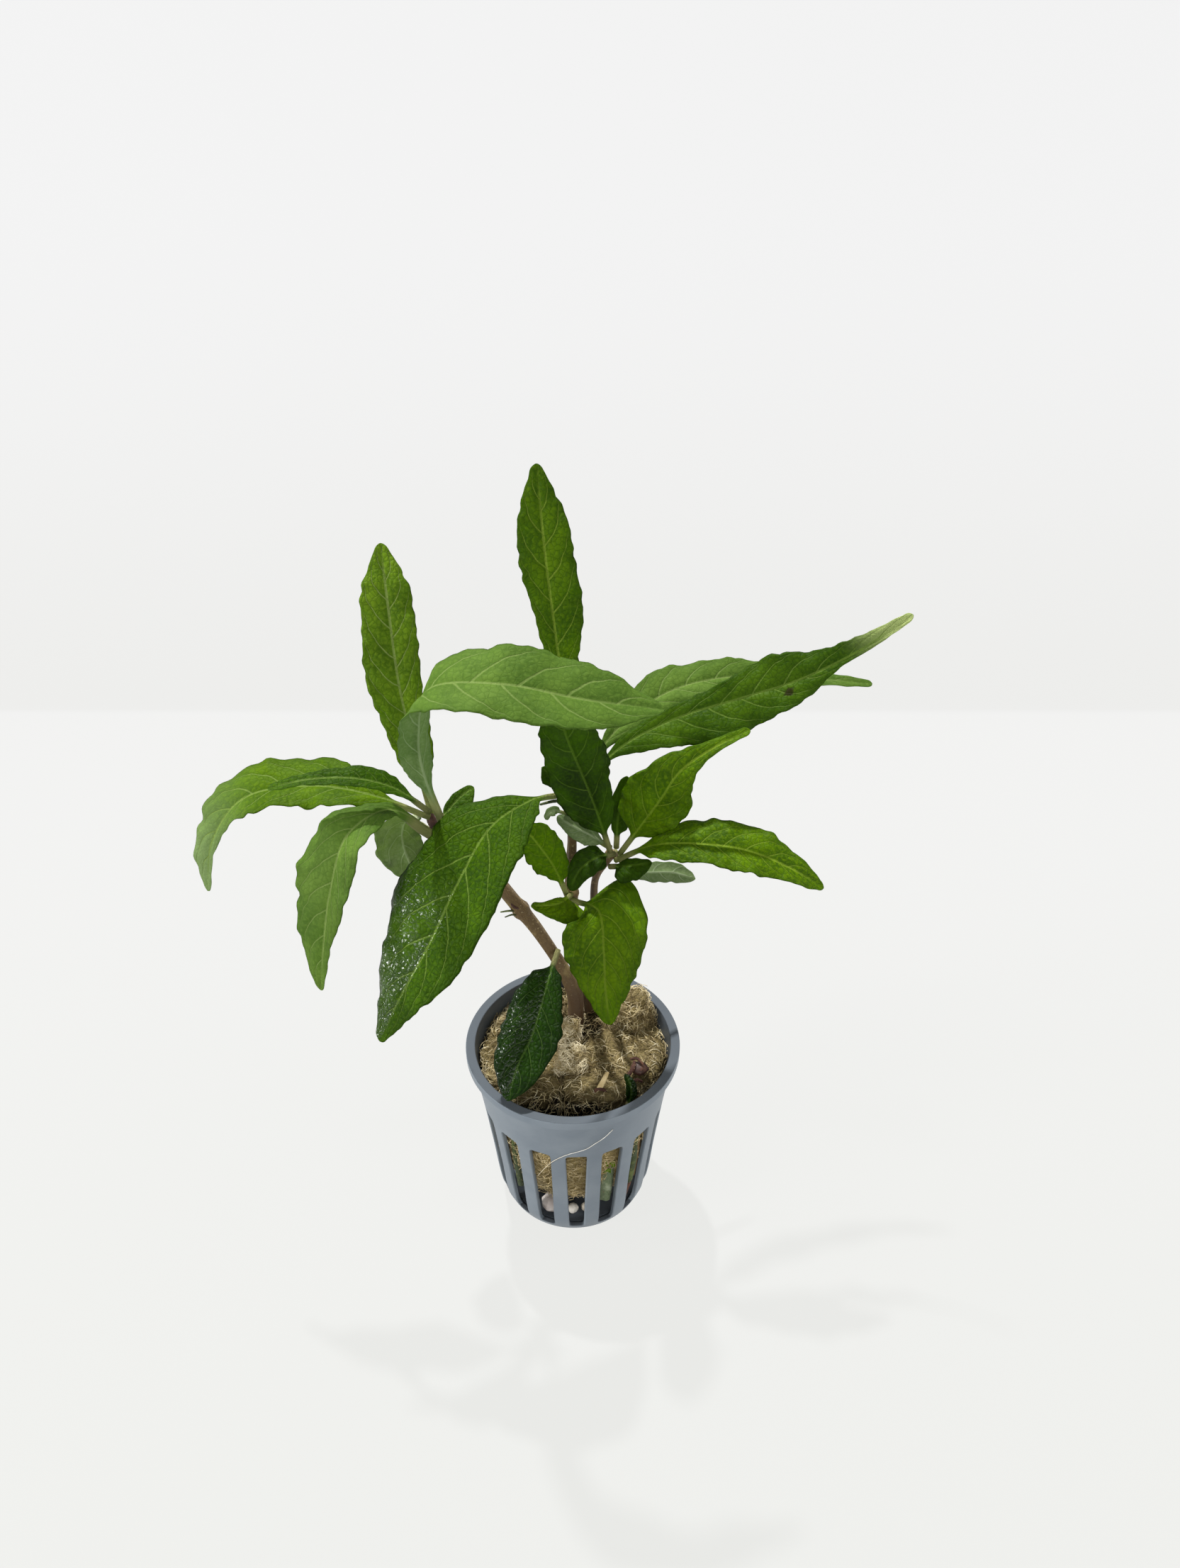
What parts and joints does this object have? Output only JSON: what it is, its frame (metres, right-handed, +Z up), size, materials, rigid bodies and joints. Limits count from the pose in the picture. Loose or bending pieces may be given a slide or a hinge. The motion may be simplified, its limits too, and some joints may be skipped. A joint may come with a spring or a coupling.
{
  "type": "potted hygrophila salicifolia",
  "caption": "Aquarium stem plant with long narrow green leaves on brown stems, planted in rockwool in a slotted grey net pot.",
  "frame": {"origin": "middle of the pot's underside, on the surface it stands on", "axes": "+Z up through the pot, -Y towards the side with the large front leaf and the camera, +X to the right seen from there"},
  "size_m": [0.1488, 0.0687, 0.1735],
  "materials": {
    "pot_plastic": "satin blue-grey moulded plastic",
    "rockwool": "tangled tan mineral fibre",
    "stem_bark": "brown, finely ridged",
    "stem_green": "pale grey-green, smooth",
    "leaf": "semi-gloss green with pale veins",
    "leaf_underside": "matt grey-green with raised veins",
    "pebble": "smooth pinkish stone",
    "grit": "rough off-white grit",
    "bark": "dark red-brown, wet",
    "splinter": "pale torn fibre"
  },
  "bodies": {
    "root": {"pot": "pot_plastic", "stem_left": "stem_bark", "stem_center": "stem_bark", "stem_right": "stem_bark", "leaf_left_upright": "leaf", "leaf_left_arching": "leaf", "leaf_far_left": "leaf", "leaf_far_left_narrow": "leaf", "leaf_left_hanging": "leaf", "leaf_front_large": "leaf", "leaf_left_pale": "leaf_underside", "leaf_left_small": "leaf", "leaf_center_upright": "leaf", "leaf_center_broad": "leaf", "leaf_right_young": "leaf", "leaf_right_twisting": "leaf", "leaf_right_low": "leaf", "leaf_right_inner": "leaf", "leaf_right_long": "leaf", "leaf_right_pale": "leaf_underside", "leaf_center_small": "leaf", "leaf_center_left": "leaf", "leaf_center_pale": "leaf_underside", "leaf_center_stub": "leaf", "leaf_front_bright": "leaf", "leaf_front_pointed": "leaf", "leaf_right_back": "leaf", "leaf_pot_dark": "leaf", "rockwool_left": "rockwool", "rockwool_right": "rockwool", "rockwool_flake_rear": "rockwool", "rockwool_flake_front": "rockwool", "stem_cutting": "stem_green", "pebble": "pebble", "grit_1": "grit", "grit_2": "grit", "bark_chip": "bark", "splinter": "splinter"}
  },
  "joints": []
}
